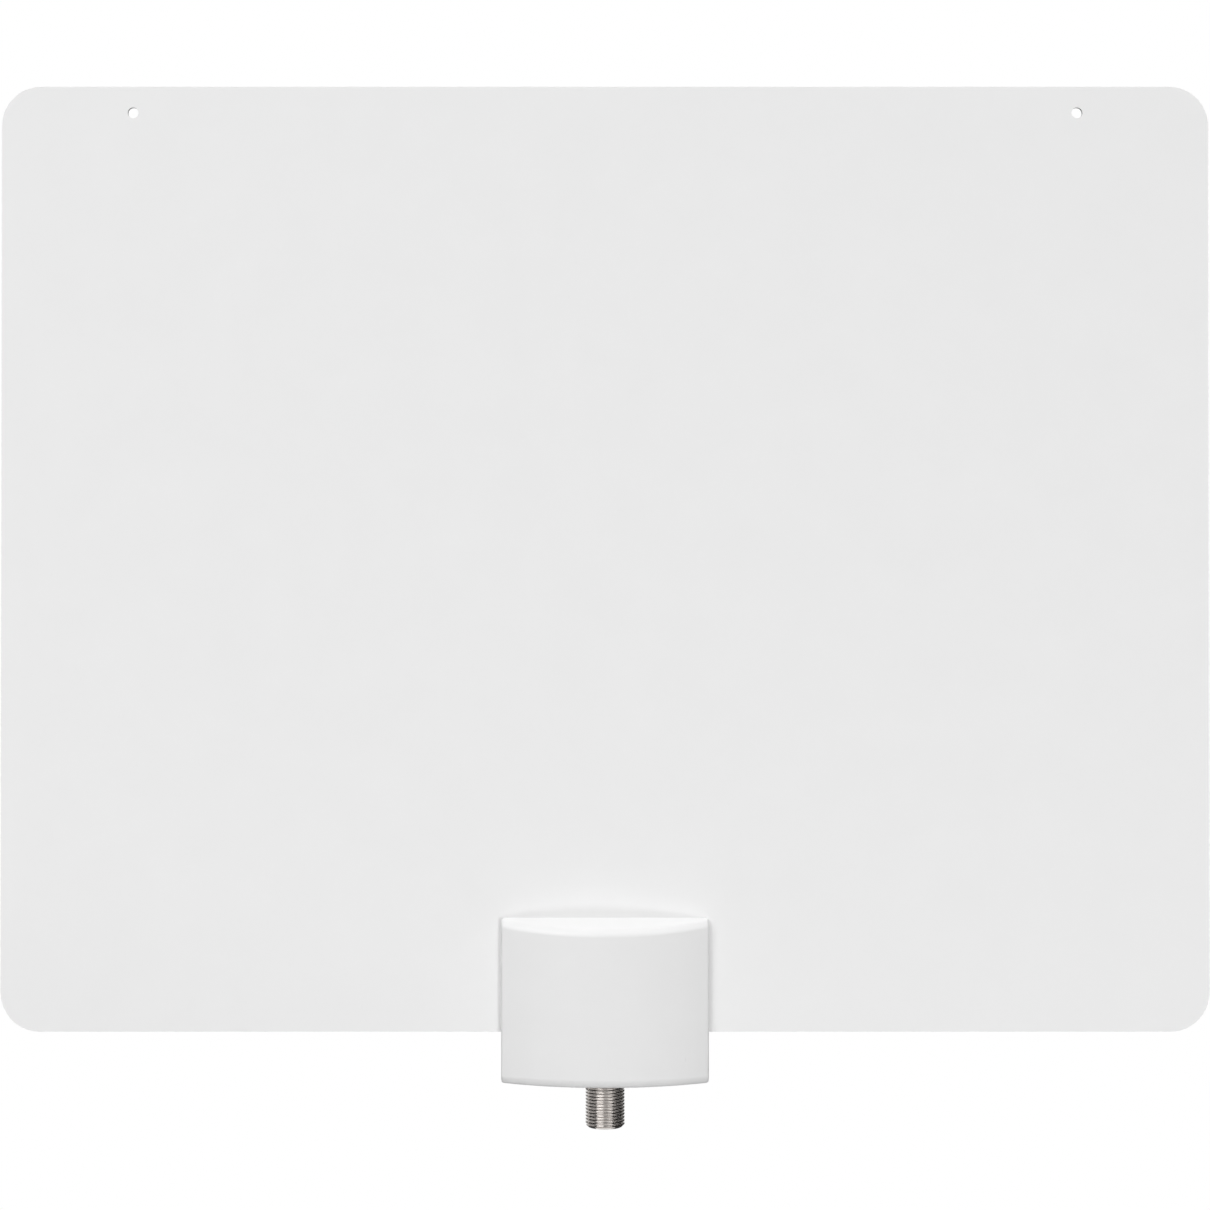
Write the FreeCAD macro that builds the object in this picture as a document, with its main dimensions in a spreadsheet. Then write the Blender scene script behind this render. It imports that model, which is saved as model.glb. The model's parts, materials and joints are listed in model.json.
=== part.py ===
"""Flat sheet television antenna.

Two films are laminated around a pair of foil radiators. A two-part housing, crowned across its
width, clamps the middle of the sheet's lower edge. It holds a circuit board, a matching transformer
and a threaded coaxial jack.

Frame: +Z up, +X to the right as seen from the front, and the front faces -Y. The origin is midway
between the two hanging holes, in the plane where the two films meet. Lengths are millimetres and
angles are degrees.
"""

import FreeCAD, Part
import math
import os

import Sketcher

# Driving dimensions, one spreadsheet cell each
SIZES = {
    # Laminated sheet
    "sheet_width": 292.1,
    "sheet_height": 228.6,
    "sheet_corner_radius": 9.5,
    "front_film_thickness": 0.3,
    "back_film_thickness": 0.5,
    "foil_thickness": 0.05,
    # Hanging holes near the top corners
    "hang_hole_spacing": 228.6,
    "hang_hole_diameter": 2.6,
    "hang_hole_drop": 6.3,
    # Foil radiators: a broad loop on each side, with a tab down to the feed point
    "radiator_side_margin": 12.0,
    "radiator_top_margin": 20.0,
    "radiator_bottom_margin": 33.0,
    "radiator_band": 14.0,
    "radiator_corner_radius": 6.0,
    "feed_tab_width": 7.0,
    "feed_tab_margin": 3.0,
    # Housing, both halves
    "housing_width": 50.0,
    "housing_overlap": 27.6,
    "housing_overhang": 12.3,
    "housing_wall": 1.8,
    "crown_side": 2.3,
    "shoulder_angle": 15.0,
    "crown_edge_radius": 2.1,
    "side_edge_radius": 0.7,
    "sheet_edge_room": 0.2,
    # Pins of the front half, pressed into the sockets of the rear half
    "pin_diameter": 3.0,
    "pin_inset": 8.5,
    "pin_reach": 2.4,
    "pin_tip_room": 0.3,
    "pin_fit": 0.02,
    "pin_hole_room": 0.1,
    "pin_boss_wall": 1.3,
    "upper_pin_drop": 9.0,
    "lower_pin_rise": 6.5,
    # Ribs inside the housing
    "rib_thickness": 1.2,
    "rib_board_inset": 1.0,
    "rib_end_inset": 1.5,
    "flange_stop_overlap": 1.6,
    # Circuit board and the eyelets that rivet it to the sheet
    "board_thickness": 1.0,
    "board_side_room": 1.0,
    "board_margin": 6.0,
    "eyelet_rib_room": 0.5,
    "eyelet_rise": 8.0,
    "eyelet_diameter": 2.4,
    "eyelet_bore": 1.6,
    "eyelet_flange_diameter": 4.0,
    "eyelet_flange_thickness": 0.3,
    "eyelet_hole_room": 0.05,
    # Matching transformer: a two-hole ferrite core and two wire loops
    "core_width": 6.2,
    "core_height": 3.4,
    "core_length": 5.0,
    "core_edge_radius": 0.8,
    "core_hole_spacing": 3.0,
    "core_hole_diameter": 1.6,
    "wire_diameter": 0.4,
    "wire_spacing": 0.55,
    "wire_bend": 0.8,
    "wire_stub": 0.6,
    "wire_ramp": 2.0,
    "wire_foot": 0.9,
    # Coaxial jack
    "thread_diameter": 9.5,
    "thread_chamfer": 0.4,
    "connector_reach": 10.4,
    "neck_diameter": 8.6,
    "neck_room": 0.1,
    "barrel_bore": 5.6,
    "mouth_bore": 4.8,
    "mouth_lip": 0.6,
    "flange_lip": 0.35,
    "flange_room": 1.2,
    "flange_thickness": 2.0,
    "prong_width": 1.3,
    "prong_thickness": 1.1,
    "prong_length": 4.0,
    "prong_inset": 0.3,
    # Insulators and spring contact of the jack
    "front_insulator_length": 7.0,
    "guide_diameter": 1.3,
    "guide_length": 1.4,
    "guide_lead": 0.35,
    "contact_diameter": 2.2,
    "contact_bore": 0.8,
    "contact_room": 0.1,
    "contact_back_wall": 1.0,
    "contact_slot_width": 0.3,
    "contact_slot_length": 3.2,
    "tail_width": 0.8,
    "tail_rear_depth": 0.3,
    "tail_reach": 3.4,
    "tail_room": 0.15,
}

# Places and sizes that follow from the driving dimensions
LAYOUT = {
    "sheet_bottom": "Sizes.hang_hole_drop - Sizes.sheet_height",
    "housing_top": "sheet_bottom + Sizes.housing_overlap",
    "housing_bottom": "sheet_bottom - Sizes.housing_overhang",
    "housing_height": "housing_top - housing_bottom",
    "barrel_radius": "Sizes.thread_diameter / 2",
    "bore_radius": "Sizes.barrel_bore / 2",
    "flange_half": "barrel_radius + Sizes.flange_lip",
    "crown_depth": "flange_half + Sizes.flange_room + Sizes.housing_wall",
    "crown_rise": "crown_depth - Sizes.crown_side",
    "crown_radius": "(Sizes.housing_width^2 / 4 + crown_rise^2) / (2 * crown_rise)",
    "shoulder_slope": "tan(Sizes.shoulder_angle * 1 deg)",
    "barrel_length": "Sizes.connector_reach + Sizes.housing_wall + Sizes.flange_thickness",
    "connector_end": "housing_bottom - Sizes.connector_reach",
    "flange_top": "connector_end + barrel_length",
    "insulator_split": "Sizes.mouth_lip + Sizes.front_insulator_length",
    "contact_start": "Sizes.mouth_lip + Sizes.guide_length",
    "pin_place": "Sizes.housing_width / 2 - Sizes.pin_inset",
    "pin_boss_diameter": "Sizes.pin_diameter + 2 * Sizes.pin_boss_wall",
    "upper_pin_height": "housing_top - Sizes.upper_pin_drop",
    "lower_pin_height": "housing_bottom + Sizes.lower_pin_rise",
    "board_half_width": "pin_place - pin_boss_diameter / 2 - Sizes.board_side_room",
    "board_front": "Sizes.front_film_thickness + Sizes.board_thickness",
    "rib_outer": "board_half_width - Sizes.rib_board_inset",
    "rib_inner": "rib_outer - Sizes.rib_thickness",
    "eyelet_place": "rib_inner - Sizes.eyelet_rib_room - Sizes.eyelet_flange_diameter / 2",
    "eyelet_height": "sheet_bottom + Sizes.eyelet_rise",
    "eyelet_hole": "Sizes.eyelet_diameter + 2 * Sizes.eyelet_hole_room",
    "feed_tab_inner": "eyelet_place - Sizes.feed_tab_width / 2",
    "feed_tab_outer": "eyelet_place + Sizes.feed_tab_width / 2",
    "board_top": "eyelet_height + Sizes.board_margin",
    "core_depth": "board_front + Sizes.core_height / 2",
}

# Which way a half of the housing faces: -1 for the front half, +1 for the rear half
FRONT = -1
REAR = 1
LEFT = -1
RIGHT = 1

# Lengths closer than this are taken as equal
MODELLING_TOLERANCE = 1e-4

document = FreeCAD.newDocument("FlatAntenna")
subparts = []


def make_sheet(name, rows):
    """Write one aliased cell for each row of a new spreadsheet."""
    sheet = document.addObject("Spreadsheet::Sheet", name)
    for row, (alias, content) in enumerate(rows.items(), start=1):
        sheet.set(f"A{row}", alias)
        sheet.set(f"B{row}", content)
        sheet.setAlias(f"B{row}", alias)
    document.recompute()
    return sheet


make_sheet("Sizes", {alias: str(size) for alias, size in SIZES.items()})
layout_sheet = make_sheet("Layout", {alias: f"={formula}" for alias, formula in LAYOUT.items()})


def value(expression):
    """Give the number that an expression has at the present sizes."""
    return float(layout_sheet.evalExpression(expression))


def crown_wall(across):
    """Expression for the depth of the crowned wall's middle at a distance from the centre line."""
    return (
        f"Layout.crown_depth - Layout.crown_radius + sqrt(Layout.crown_radius^2 - ({across})^2)"
        " - Sizes.housing_wall / 2"
    )


# Sketch helpers


def new_body(label):
    """Start a sub-part made of sketches and features."""
    body = document.addObject("PartDesign::Body", label)
    body.Label = label
    subparts.append(body)
    return body


def new_sketch(body, name, plane, offset=None):
    """Start a sketch on one of the body's origin planes, moved along its normal by an expression."""
    sketch = body.newObject("Sketcher::SketchObject", f"{body.Label}_{name}")
    support = next(feature for feature in body.Origin.OriginFeatures if feature.Role == plane)
    sketch.AttachmentSupport = [(support, "")]
    sketch.MapMode = "FlatFace"
    if offset is not None:
        sketch.setExpression("AttachmentOffset.Base.z", offset)
    return sketch


def bind_constraint(sketch, constraint, expression):
    """Add a constraint and tie its value to an expression."""
    index = sketch.addConstraint(constraint)
    sketch.setExpression(f"Constraints[{index}]", expression)


def fix_point(sketch, geometry, vertex, across, up):
    """Tie a point of the sketch to its two coordinates."""
    for kind, expression in (("DistanceX", across), ("DistanceY", up)):
        distance = Sketcher.Constraint(kind, -1, 1, geometry, vertex, value(expression))
        bind_constraint(sketch, distance, expression)


def add_polygon(sketch, corners):
    """Draw a closed outline of straight lines through corners given as pairs of expressions."""
    points = [FreeCAD.Vector(value(across), value(up), 0) for across, up in corners]
    lines = [
        sketch.addGeometry(Part.LineSegment(start, end))
        for start, end in zip(points, points[1:] + points[:1])
    ]
    for before, line, (across, up) in zip(lines[-1:] + lines[:-1], lines, corners):
        sketch.addConstraint(Sketcher.Constraint("Coincident", before, 2, line, 1))
        fix_point(sketch, line, 1, across, up)


def add_rectangle(sketch, left, right, bottom, top):
    """Draw a rectangle between four expressions."""
    add_polygon(sketch, [(left, bottom), (right, bottom), (right, top), (left, top)])


def add_circle(sketch, across, up, diameter):
    """Draw a circle about a point, with its diameter tied to an expression."""
    centre = FreeCAD.Vector(value(across), value(up), 0)
    circle = sketch.addGeometry(Part.Circle(centre, FreeCAD.Vector(0, 0, 1), value(diameter) / 2))
    fix_point(sketch, circle, 3, across, up)
    bind_constraint(sketch, Sketcher.Constraint("Diameter", circle, value(diameter)), diameter)


# Feature helpers


def add_pad(body, sketch, length, backwards=False):
    """Raise a sketch along its normal, or against it."""
    pad = body.newObject("PartDesign::Pad", f"{sketch.Name}_pad")
    pad.Profile = sketch
    pad.Reversed = backwards
    pad.setExpression("Length", length)
    document.recompute()
    return pad


def require_cut(body, name, volume_before):
    """Stop if a cut took nothing away."""
    if body.Shape.Volume >= volume_before:
        raise RuntimeError(f"{name} cuts nothing")


def add_pocket(body, sketch, depth=None, backwards=False, both_ways=False):
    """Cut a sketch against its normal, or along it, to a depth or right through."""
    volume_before = body.Shape.Volume
    pocket = body.newObject("PartDesign::Pocket", f"{sketch.Name}_pocket")
    pocket.Profile = sketch
    pocket.Reversed = backwards
    pocket.Midplane = both_ways
    if depth is None:
        pocket.Type = "ThroughAll"
    else:
        pocket.setExpression("Length", depth)
    document.recompute()
    require_cut(body, pocket.Name, volume_before)
    return pocket


def add_revolution(body, sketch):
    """Turn a sketch about its own vertical axis."""
    turned = body.newObject("PartDesign::Revolution", f"{sketch.Name}_turned")
    turned.Profile = sketch
    turned.ReferenceAxis = (sketch, ["V_Axis"])
    turned.Angle = 360
    document.recompute()
    return turned


def add_fillet(body, name, is_wanted, radius):
    """Round the edges that a test picks out of the body's present shape."""
    base = body.Tip
    edges = [f"Edge{number}" for number, edge in enumerate(base.Shape.Edges, start=1) if is_wanted(edge)]
    fillet = body.newObject("PartDesign::Fillet", f"{body.Label}_{name}")
    fillet.Base = (base, edges)
    fillet.setExpression("Radius", radius)
    document.recompute()
    return fillet


def same(first, second):
    """Tell whether two lengths are equal within modelling tolerance."""
    return abs(first - second) < MODELLING_TOLERANCE


# Laminated sheet


def add_sheet_outline(body, thickness, backwards):
    """Raise the sheet's rounded outline to one film's thickness."""
    sketch = new_sketch(body, "outline", "XZ_Plane")
    half_width = "Sizes.sheet_width / 2"
    add_rectangle(sketch, f"-{half_width}", half_width, "Layout.sheet_bottom", "Sizes.hang_hole_drop")
    add_pad(body, sketch, thickness, backwards)
    add_fillet(
        body,
        "corners",
        lambda edge: same(edge.BoundBox.YLength, edge.Length),
        "Sizes.sheet_corner_radius",
    )


def add_sheet_holes(body, backwards):
    """Pierce a film for the hanging pins, the housing's pins and the feed eyelets."""
    sketch = new_sketch(body, "holes", "XZ_Plane")
    pin_hole = "Sizes.pin_diameter + 2 * Sizes.pin_hole_room"
    for side in (LEFT, RIGHT):
        add_circle(sketch, f"{side} * Sizes.hang_hole_spacing / 2", "0", "Sizes.hang_hole_diameter")
        add_circle(sketch, f"{side} * Layout.pin_place", "Layout.upper_pin_height", pin_hole)
        add_circle(sketch, f"{side} * Layout.eyelet_place", "Layout.eyelet_height", "Layout.eyelet_hole")
    add_pocket(body, sketch, backwards=backwards)


def add_radiator_outline(body, side):
    """Draw one radiator: a broad loop whose inner band runs down into the feed tab."""
    sketch = new_sketch(body, f"radiator_{'left' if side == LEFT else 'right'}", "XZ_Plane")
    inner = f"{side} * Layout.feed_tab_inner"
    outer = f"{side} * (Sizes.sheet_width / 2 - Sizes.radiator_side_margin)"
    tab_side = f"{side} * Layout.feed_tab_outer"
    top = "Sizes.hang_hole_drop - Sizes.radiator_top_margin"
    bottom = "Layout.sheet_bottom + Sizes.radiator_bottom_margin"
    tab_end = "Layout.sheet_bottom + Sizes.feed_tab_margin"
    band = "Sizes.radiator_band"
    tab = [(inner, tab_end), (tab_side, tab_end), (tab_side, bottom)]
    add_polygon(sketch, tab + [(outer, bottom), (outer, top), (inner, top)])
    add_rectangle(
        sketch,
        f"{inner} + {side} * {band}",
        f"{outer} - {side} * {band}",
        f"{bottom} + {band}",
        f"{top} - {band}",
    )
    return sketch


def is_loop_corner(edge):
    """Pick the upright corner edges of a radiator's loop, and of its recess, but not those of its tab."""
    is_upright = same(edge.BoundBox.YLength, edge.Length)
    is_foil_thick = same(edge.Length, value("Sizes.foil_thickness"))
    across = abs(edge.BoundBox.Center.x)
    up = edge.BoundBox.Center.z
    loop_bottom = value("Layout.sheet_bottom + Sizes.radiator_bottom_margin")
    on_loop = up > loop_bottom + MODELLING_TOLERANCE
    on_outer_side = same(across, value("Sizes.sheet_width / 2 - Sizes.radiator_side_margin"))
    return is_upright and is_foil_thick and (on_loop or on_outer_side)


def build_front_film():
    """White film that faces the room."""
    body = new_body("front_film")
    add_sheet_outline(body, "Sizes.front_film_thickness", backwards=False)
    add_sheet_holes(body, backwards=True)


def build_back_film():
    """Dark film behind, with a shallow bed for each radiator in its inner face."""
    body = new_body("back_film")
    add_sheet_outline(body, "Sizes.back_film_thickness", backwards=True)
    for side in (LEFT, RIGHT):
        add_pocket(body, add_radiator_outline(body, side), "Sizes.foil_thickness")
    add_fillet(body, "bed_corners", is_loop_corner, "Sizes.radiator_corner_radius")
    add_sheet_holes(body, backwards=False)


def build_radiator(label, side):
    """Foil conductor that lies in its bed between the films, pierced by the feed eyelet."""
    body = new_body(label)
    add_pad(body, add_radiator_outline(body, side), "Sizes.foil_thickness", backwards=True)
    add_fillet(body, "corners", is_loop_corner, "Sizes.radiator_corner_radius")
    sketch = new_sketch(body, "eyelet_hole", "XZ_Plane")
    add_circle(sketch, f"{side} * Layout.eyelet_place", "Layout.eyelet_height", "Layout.eyelet_hole")
    add_pocket(body, sketch)


# Housing


def add_crowned_block(body, facing):
    """Raise the housing's plan: flat on the parting plane, short side walls and a crowned face."""
    sketch = new_sketch(body, "plan", "XY_Plane", "Layout.housing_bottom")
    half_width = "Sizes.housing_width / 2"
    side_depth = f"{facing} * Sizes.crown_side"
    first, second = (LEFT, RIGHT) if facing == FRONT else (RIGHT, LEFT)
    ends = [
        (f"{second} * {half_width}", side_depth),
        (f"{second} * {half_width}", "0"),
        (f"{first} * {half_width}", "0"),
        (f"{first} * {half_width}", side_depth),
    ]
    points = [FreeCAD.Vector(value(across), value(deep), 0) for across, deep in ends]
    lines = [
        sketch.addGeometry(Part.LineSegment(start, end)) for start, end in zip(points[:-1], points[1:])
    ]
    apex = FreeCAD.Vector(0, facing * value("Layout.crown_depth"), 0)
    arc = sketch.addGeometry(Part.Arc(points[3], apex, points[0]))
    for before, after in zip(lines[:-1], lines[1:]):
        sketch.addConstraint(Sketcher.Constraint("Coincident", before, 2, after, 1))
    sketch.addConstraint(Sketcher.Constraint("Coincident", lines[-1], 2, arc, 1))
    sketch.addConstraint(Sketcher.Constraint("Coincident", arc, 2, lines[0], 1))
    for line, (across, deep) in zip(lines, ends):
        fix_point(sketch, line, 1, across, deep)
    fix_point(sketch, lines[-1], 2, *ends[-1])
    crown = Sketcher.Constraint("Radius", arc, value("Layout.crown_radius"))
    bind_constraint(sketch, crown, "Layout.crown_radius")
    add_pad(body, sketch, "Layout.housing_height")


def cut_shoulder(body, facing):
    """Slope the top of the block down towards its crowned face."""
    sketch = new_sketch(body, "shoulder", "YZ_Plane")
    clear_depth = "2 * Layout.crown_depth"
    low_end = f"Layout.housing_top - Layout.shoulder_slope * {clear_depth}"
    outside = f"{facing} * {clear_depth}"
    add_polygon(sketch, [("0", "Layout.housing_top"), (outside, "Layout.housing_top"), (outside, low_end)])
    add_pocket(body, sketch, both_ways=True)


def hollow_half(body):
    """Hollow the half to an even wall, open on the parting plane."""
    base = body.Tip
    open_faces = [
        f"Face{number}"
        for number, face in enumerate(base.Shape.Faces, start=1)
        if same(face.BoundBox.YLength, 0) and same(face.BoundBox.YMin, 0)
    ]
    shell = body.newObject("PartDesign::Thickness", f"{body.Label}_wall")
    shell.Base = (base, open_faces)
    shell.Mode = "Skin"
    shell.Join = "Intersection"
    shell.Reversed = True
    shell.setExpression("Value", "Sizes.housing_wall")
    document.recompute()


def round_half(body, facing):
    """Round the crown's top and bottom edges, then the outline of each side wall."""
    half_width = value("Sizes.housing_width / 2")
    depth = value("Layout.crown_depth")

    def is_crown_edge(edge):
        box = edge.BoundBox
        reach = -box.YMin if facing == FRONT else box.YMax
        return same(box.XLength, 2 * half_width) and same(reach, depth)

    def is_side_edge(edge):
        box = edge.BoundBox
        on_side = same(box.XLength, 0) and same(abs(box.XMin), half_width)
        on_parting_plane = same(box.YMin, 0) and same(box.YMax, 0)
        return on_side and not on_parting_plane

    add_fillet(body, "crown_edges", is_crown_edge, "Sizes.crown_edge_radius")
    add_fillet(body, "side_edges", is_side_edge, "Sizes.side_edge_radius")


def cut_sheet_seat(body, facing):
    """Lower the rim by one film's thickness where the sheet passes between the halves."""
    sketch = new_sketch(body, "sheet_seat", "XZ_Plane")
    add_rectangle(
        sketch,
        "-Sizes.housing_width",
        "Sizes.housing_width",
        "Layout.sheet_bottom - Sizes.sheet_edge_room",
        "Layout.housing_top + Layout.housing_height",
    )
    add_pocket(body, sketch, film_behind(facing), backwards=facing == FRONT)


def film_behind(facing):
    """Thickness of the film that a half of the housing bears on."""
    return "Sizes.front_film_thickness" if facing == FRONT else "Sizes.back_film_thickness"


def cut_neck_opening(body):
    """Cut the half-round opening for the jack's neck through the bottom wall."""
    sketch = new_sketch(body, "neck_opening", "XY_Plane", "Layout.housing_bottom")
    add_circle(sketch, "0", "0", "Sizes.neck_diameter + 2 * Sizes.neck_room")
    add_pocket(body, sketch, "Sizes.housing_wall", backwards=True)


def add_board_ribs(body, facing):
    """Add the upright ribs that press the board and the sheet together."""
    near = "Layout.board_front" if facing == FRONT else "Sizes.back_film_thickness"
    start = "Layout.sheet_bottom + Sizes.rib_end_inset"
    sketch = new_sketch(body, "board_ribs", "XY_Plane", start)
    root = crown_wall("Layout.rib_outer")
    for side in (LEFT, RIGHT):
        add_rectangle(
            sketch,
            f"{side} * Layout.rib_inner",
            f"{side} * Layout.rib_outer",
            f"{facing} * {near}",
            f"{facing} * ({root})",
        )
    add_pad(body, sketch, f"Layout.board_top - Sizes.rib_end_inset - ({start})")


def add_flange_stop(body, facing):
    """Add the shelf that keeps the jack's flange down on the bottom wall."""
    sketch = new_sketch(body, "flange_stop", "XY_Plane", "Layout.flange_top")
    root = crown_wall("Layout.flange_half")
    add_rectangle(
        sketch,
        "-Layout.flange_half",
        "Layout.flange_half",
        f"{facing} * (Layout.flange_half - Sizes.flange_stop_overlap)",
        f"{facing} * ({root})",
    )
    add_pad(body, sketch, "Sizes.rib_thickness")


def add_posts(body, facing, name, diameter, up, length):
    """Raise a round post on each side from inside the crowned wall towards the parting plane."""
    root = crown_wall("Layout.pin_place")
    sketch = new_sketch(body, name, "XZ_Plane", f"{-facing} * ({root})")
    for side in (LEFT, RIGHT):
        add_circle(sketch, f"{side} * Layout.pin_place", up, diameter)
    add_pad(body, sketch, f"({root}) + ({length})", backwards=facing == FRONT)


def add_bosses(body, facing):
    """Add the shoulders around the pins: the upper pair bears on the sheet, the lower pair on each other."""
    on_sheet = f"-{film_behind(facing)}"
    add_posts(body, facing, "upper_bosses", "Layout.pin_boss_diameter", "Layout.upper_pin_height", on_sheet)
    add_posts(body, facing, "lower_bosses", "Layout.pin_boss_diameter", "Layout.lower_pin_height", "0")


def build_housing_shell(label, facing):
    """Make what both halves of the housing share."""
    body = new_body(label)
    add_crowned_block(body, facing)
    cut_shoulder(body, facing)
    hollow_half(body)
    round_half(body, facing)
    cut_sheet_seat(body, facing)
    cut_neck_opening(body)
    add_board_ribs(body, facing)
    add_flange_stop(body, facing)
    add_bosses(body, facing)
    return body


def build_front_housing():
    """Front half, with the pins that pass through the sheet."""
    body = build_housing_shell("front_housing", FRONT)
    for name, up in (("upper_pins", "Layout.upper_pin_height"), ("lower_pins", "Layout.lower_pin_height")):
        add_posts(body, FRONT, name, "Sizes.pin_diameter", up, "Sizes.pin_reach")


def build_rear_housing():
    """Rear half, with a socket for each pin."""
    body = build_housing_shell("rear_housing", REAR)
    sketch = new_sketch(body, "sockets", "XZ_Plane")
    for side in (LEFT, RIGHT):
        for up in ("Layout.upper_pin_height", "Layout.lower_pin_height"):
            add_circle(sketch, f"{side} * Layout.pin_place", up, "Sizes.pin_diameter + 2 * Sizes.pin_fit")
    add_pocket(body, sketch, "Sizes.pin_reach + Sizes.pin_tip_room")


# Circuit board, eyelets and matching transformer


def build_circuit_board():
    """Board that lies on the front film, with its lower edge on the jack's flange."""
    body = new_body("circuit_board")
    sketch = new_sketch(body, "outline", "XZ_Plane", "Sizes.front_film_thickness")
    half_width = "Layout.board_half_width"
    add_rectangle(sketch, f"-{half_width}", half_width, "Layout.flange_top", "Layout.board_top")
    add_pad(body, sketch, "Sizes.board_thickness")
    holes = new_sketch(body, "eyelet_holes", "XZ_Plane", "Sizes.front_film_thickness")
    for side in (LEFT, RIGHT):
        add_circle(holes, f"{side} * Layout.eyelet_place", "Layout.eyelet_height", "Layout.eyelet_hole")
    add_pocket(body, holes, backwards=True)


def build_feed_eyelet(label, side):
    """Hollow rivet, rolled over on the board's front and on the back of the sheet."""
    body = new_body(label)
    sketch = new_sketch(body, "section", "XY_Plane")
    bore = "Sizes.eyelet_bore / 2"
    tube = "Sizes.eyelet_diameter / 2"
    rim = "Sizes.eyelet_flange_diameter / 2"
    front = "-Layout.board_front"
    back = "Sizes.back_film_thickness"
    front_end = f"{front} - Sizes.eyelet_flange_thickness"
    back_end = f"{back} + Sizes.eyelet_flange_thickness"
    add_polygon(
        sketch,
        [
            (bore, front_end),
            (rim, front_end),
            (rim, front),
            (tube, front),
            (tube, back),
            (rim, back),
            (rim, back_end),
            (bore, back_end),
        ],
    )
    add_revolution(body, sketch)
    body.setExpression("Placement.Base.x", f"{side} * Layout.eyelet_place")
    body.setExpression("Placement.Base.z", "Layout.eyelet_height")


def build_balun_core():
    """Two-hole ferrite core that stands on the board between the eyelets."""
    body = new_body("balun_core")
    sketch = new_sketch(body, "section", "XY_Plane", "-Sizes.core_length / 2")
    half_width = "Sizes.core_width / 2"
    half_height = "Sizes.core_height / 2"
    add_rectangle(sketch, f"-{half_width}", half_width, f"-{half_height}", half_height)
    for side in (LEFT, RIGHT):
        add_circle(sketch, f"{side} * Sizes.core_hole_spacing / 2", "0", "Sizes.core_hole_diameter")
    add_pad(body, sketch, "Sizes.core_length")
    add_fillet(
        body,
        "edges",
        lambda edge: same(edge.BoundBox.ZLength, edge.Length)
        and same(abs(edge.BoundBox.Center.x), value("Sizes.core_width / 2")),
        "Sizes.core_edge_radius",
    )
    body.setExpression("Placement.Base.y", "-Layout.core_depth")
    body.setExpression("Placement.Base.z", "Layout.eyelet_height")


def bent_path(points, bend_radius):
    """Join points by straight runs, with a tangent arc in place of each corner."""
    edges = []
    run_start = points[0]
    for before, corner, after in zip(points, points[1:], points[2:]):
        back = (before - corner).normalize()
        onward = (after - corner).normalize()
        half_turn = (math.pi - back.getAngle(onward)) / 2
        setback = bend_radius * math.tan(half_turn)
        arc_start = corner + back * setback
        arc_end = corner + onward * setback
        inward = (back + onward).normalize()
        arc_middle = corner + inward * (bend_radius / math.cos(half_turn) - bend_radius)
        edges.append(Part.LineSegment(run_start, arc_start).toShape())
        edges.append(Part.Arc(arc_start, arc_middle, arc_end).toShape())
        run_start = arc_end
    edges.append(Part.LineSegment(run_start, points[-1]).toShape())
    return Part.Wire(edges)


def build_winding(label, turn_way):
    """One wire loop through both holes of the core: it turns past one end and its feet lie on the board.

    turn_way is +1 where the loop turns above the core and -1 where it turns below.
    """
    wire_radius = value("Sizes.wire_diameter / 2")
    bend_radius = value("Sizes.wire_bend")
    side = value("Sizes.core_hole_spacing / 2") + turn_way * value("Sizes.wire_spacing / 2")
    deep = -value("Layout.core_depth")
    on_board = -value("Layout.board_front") - wire_radius
    middle = value("Layout.eyelet_height")
    core_end = value("Sizes.core_length / 2")
    turn = middle + turn_way * (core_end + value("Sizes.wire_stub") + bend_radius)
    ramp_top = middle - turn_way * core_end
    ramp_foot = ramp_top - turn_way * value("Sizes.wire_ramp")
    foot_end = ramp_foot - turn_way * value("Sizes.wire_foot")
    stations = [(on_board, foot_end), (on_board, ramp_foot), (deep, ramp_top), (deep, turn)]
    first_leg = [FreeCAD.Vector(-side, depth, up) for depth, up in stations]
    second_leg = [FreeCAD.Vector(side, depth, up) for depth, up in reversed(stations)]
    section = Part.Circle(first_leg[0], FreeCAD.Vector(0, 0, 1), wire_radius).toShape()
    wire = document.addObject("Part::Feature", label)
    wire.Label = label
    path = bent_path(first_leg + second_leg, bend_radius)
    wire.Shape = path.makePipeShell([Part.Wire([section])], True, False)
    wire.Placement = FreeCAD.Placement()
    subparts.append(wire)


# Coaxial jack, each piece drawn from the jack's open end upwards and then placed


def place_in_jack(body):
    """Set a piece of the jack at the jack's open end."""
    body.setExpression("Placement.Base.z", "Layout.connector_end")


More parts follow.
